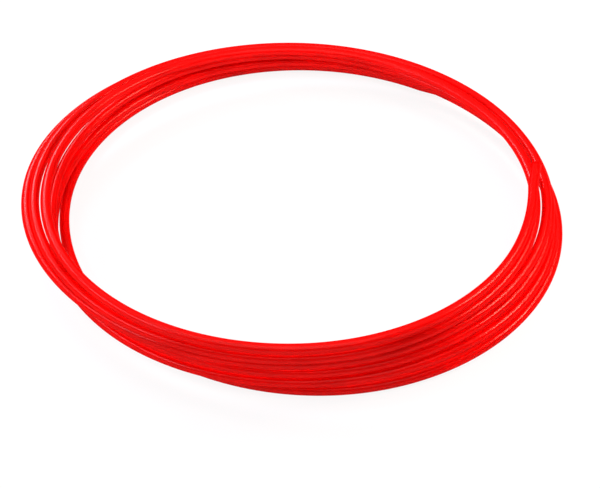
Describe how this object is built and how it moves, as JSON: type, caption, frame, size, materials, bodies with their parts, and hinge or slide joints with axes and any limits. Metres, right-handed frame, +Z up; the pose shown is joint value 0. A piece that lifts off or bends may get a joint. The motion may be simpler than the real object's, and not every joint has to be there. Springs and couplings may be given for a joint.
{
  "type": "coiled air hose",
  "caption": "Smooth round pneumatic tube laid down in a loose coil, with two plain square-cut ends for push-in fittings.",
  "frame": {"origin": "on the floor, under the middle of the coil's outline", "axes": "+Z up out of the floor; +X towards the side where the turns climb and the upper cut end lies; +Y towards the back of the coil, where the lower cut end lies under the pile on the right"},
  "size_m": [0.5346, 0.5366, 0.0852],
  "materials": {
    "red_polyurethane": "gloss, slightly soft"
  },
  "bodies": {
    "root": {"coil": "red_polyurethane", "upper_end": "red_polyurethane", "lower_end": "red_polyurethane"}
  },
  "joints": []
}
